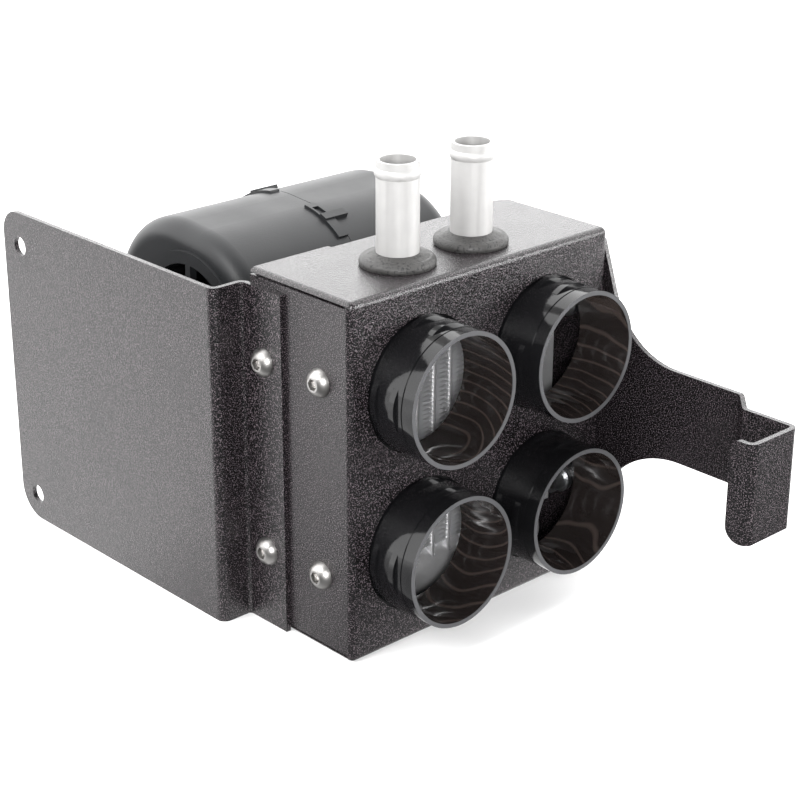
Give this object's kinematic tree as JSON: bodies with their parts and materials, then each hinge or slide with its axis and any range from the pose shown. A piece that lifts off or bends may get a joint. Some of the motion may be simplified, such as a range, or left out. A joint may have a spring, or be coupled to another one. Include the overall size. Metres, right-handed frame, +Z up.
{
  "type": "vehicle cab heater",
  "caption": "Box-shaped liquid-fed cab heater with a twin blower behind, hose pipes on top, round air spigots in front and stepped and hooked mounting brackets",
  "frame": {"origin": "centre of the flat bottom face of the case, where the heater stands", "axes": "+Z up, -Y out of the four air spigots, +X to the right seen from behind the spigots' mouths; the blower shaft lies along X and the longest side of the whole heater, from hook to rear plate, along Y"},
  "size_m": [0.1528, 0.291, 0.1787],
  "materials": {
    "powder_coat": "fine-textured satin powder coat",
    "spigot_plastic": "gloss black moulded plastic with cut rims",
    "bright_aluminium": "brazed bright sheet",
    "fin_aluminium": "folded thin sheet",
    "pipe_aluminium": "satin drawn tube",
    "grommet_rubber": "matte moulded rubber",
    "foam": "closed-cell foam strip",
    "stainless": "tumbled stainless",
    "zinc_steel": "zinc plated",
    "housing_plastic": "satin moulded plastic",
    "wheel_plastic": "satin moulded plastic",
    "ferrite": "sintered grey",
    "copper": "enamelled copper and bronze"
  },
  "bodies": {
    "heater": {"blower_gasket": "foam", "blower_housing_left": "housing_plastic", "blower_housing_right": "housing_plastic", "bracket_screws_left": "stainless", "bracket_screws_right": "stainless", "brush_plate": "housing_plastic", "case_screws_left": "stainless", "core_bottom_tank": "bright_aluminium", "core_bracket_left": "powder_coat", "core_bracket_right": "powder_coat", "core_fins": "fin_aluminium", "core_pad": "foam", "core_seals": "foam", "core_side_left": "bright_aluminium", "core_side_right": "bright_aluminium", "core_top_tank": "bright_aluminium", "core_tubes": "bright_aluminium", "flange_screws": "zinc_steel", "front_case": "powder_coat", "header_baffle": "bright_aluminium", "inlet_grommet": "grommet_rubber", "inlet_pipe": "pipe_aluminium", "inlet_ring_left": "housing_plastic", "inlet_ring_right": "housing_plastic", "left_bracket": "powder_coat", "motor_brushes": "ferrite", "motor_can": "zinc_steel", "motor_cap_left": "zinc_steel", "motor_cap_right": "zinc_steel", "motor_cradle": "housing_plastic", "motor_magnets": "ferrite", "motor_sleeve": "grommet_rubber", "outlet_grommet": "grommet_rubber", "outlet_pipe": "pipe_aluminium", "power_socket": "housing_plastic", "rear_panel": "powder_coat", "right_bracket": "powder_coat", "rivet_nuts_left": "zinc_steel", "rivet_nuts_right": "zinc_steel", "seam_clips": "housing_plastic", "shaft_bush_left": "copper", "shaft_bush_right": "copper", "socket_pins": "copper", "spigot_bottom_left": "spigot_plastic", "spigot_bottom_right": "spigot_plastic", "spigot_top_left": "spigot_plastic", "spigot_top_right": "spigot_plastic"},
    "rotor": {"motor_shaft": "zinc_steel", "armature_core": "zinc_steel", "armature_windings": "copper", "commutator": "copper", "blower_wheel_left": "wheel_plastic", "blower_wheel_right": "wheel_plastic", "wheel_clips": "zinc_steel"}
  },
  "joints": [
    {"name": "blower_spin", "type": "hinge", "parent": "heater", "child": "rotor", "pos_m": [0, 0.076, 0.1003], "axis": [1, 0, 0], "continuous": true}
  ]
}
